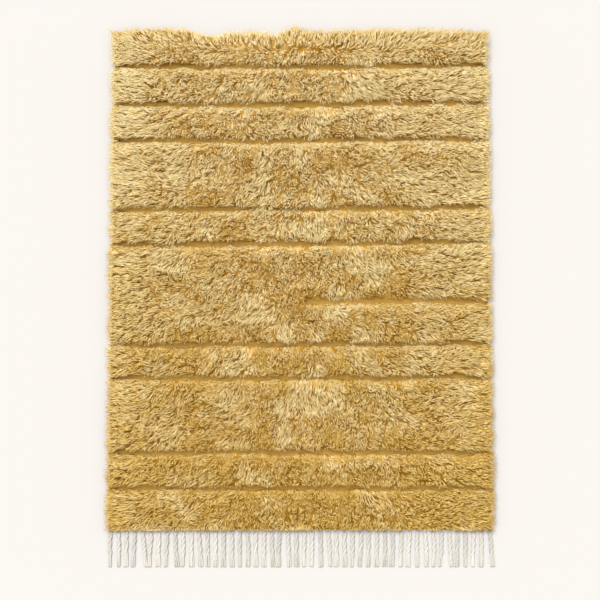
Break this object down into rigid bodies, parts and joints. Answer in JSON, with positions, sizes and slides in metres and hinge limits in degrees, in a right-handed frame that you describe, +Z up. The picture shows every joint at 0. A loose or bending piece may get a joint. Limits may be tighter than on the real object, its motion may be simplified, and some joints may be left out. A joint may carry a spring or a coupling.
{
  "type": "moroccan rug",
  "caption": "Long-pile wool rug for a floor: bands of shaggy mustard pile parted by flat grooves, on a woven ground, with an off-white warp fringe at one end.",
  "frame": {"origin": "on the floor, under the middle of the rug and its fringe", "axes": "+X across the rug to its right side, +Y along it away from the fringe, +Z up"},
  "size_m": [1.7078, 2.3997, 0.0471],
  "materials": {
    "wool_pile": "long shaggy wool pile, mustard yellow, with pale tips and dark roots",
    "ground_weave": "tight flat weave in darker ochre wool",
    "cotton_fringe": "undyed off-white twisted warp yarn, matte"
  },
  "bodies": {
    "root": {"ground_weave": "ground_weave", "pile_band_01": "wool_pile", "pile_band_02": "wool_pile", "pile_band_03": "wool_pile", "pile_band_04": "wool_pile", "pile_band_05": "wool_pile", "pile_band_06": "wool_pile", "pile_band_07": "wool_pile", "pile_band_08": "wool_pile", "pile_band_09": "wool_pile", "pile_band_10": "wool_pile", "fringe": "cotton_fringe"}
  },
  "joints": []
}
